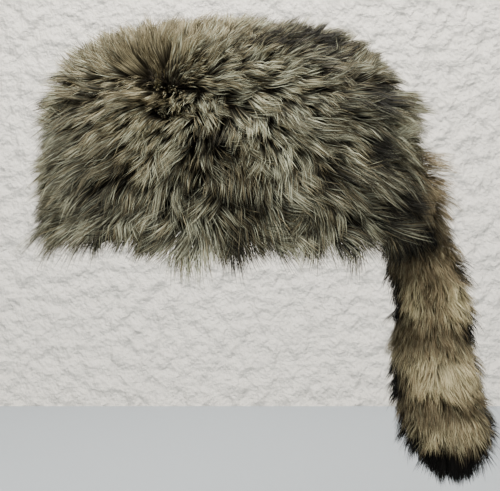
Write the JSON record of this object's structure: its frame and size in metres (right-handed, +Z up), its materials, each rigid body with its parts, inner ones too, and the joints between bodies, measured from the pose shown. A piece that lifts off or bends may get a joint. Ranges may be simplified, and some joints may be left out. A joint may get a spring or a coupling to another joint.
{
  "type": "coonskin cap",
  "caption": "Round fur cap with a domed crown, long grey-brown fur all over and a ringed fur tail that hangs from its back.",
  "frame": {"origin": "middle of the head opening, at the height of the hem in front", "axes": "+Z up; -Y towards the wearer's face, +Y towards the tail; +X towards the wearer's left"},
  "size_m": [0.2411, 0.3245, 0.3366],
  "materials": {
    "backing": "matte",
    "cap_fur": "matte",
    "tail_fur": "matte",
    "tab": "matte"
  },
  "bodies": {
    "root": {"crown_panel": "backing", "band_panel": "backing", "crown_fur": "cap_fur", "band_fur": "cap_fur", "tail_tab": "tab", "tail": "tail_fur"}
  },
  "joints": []
}
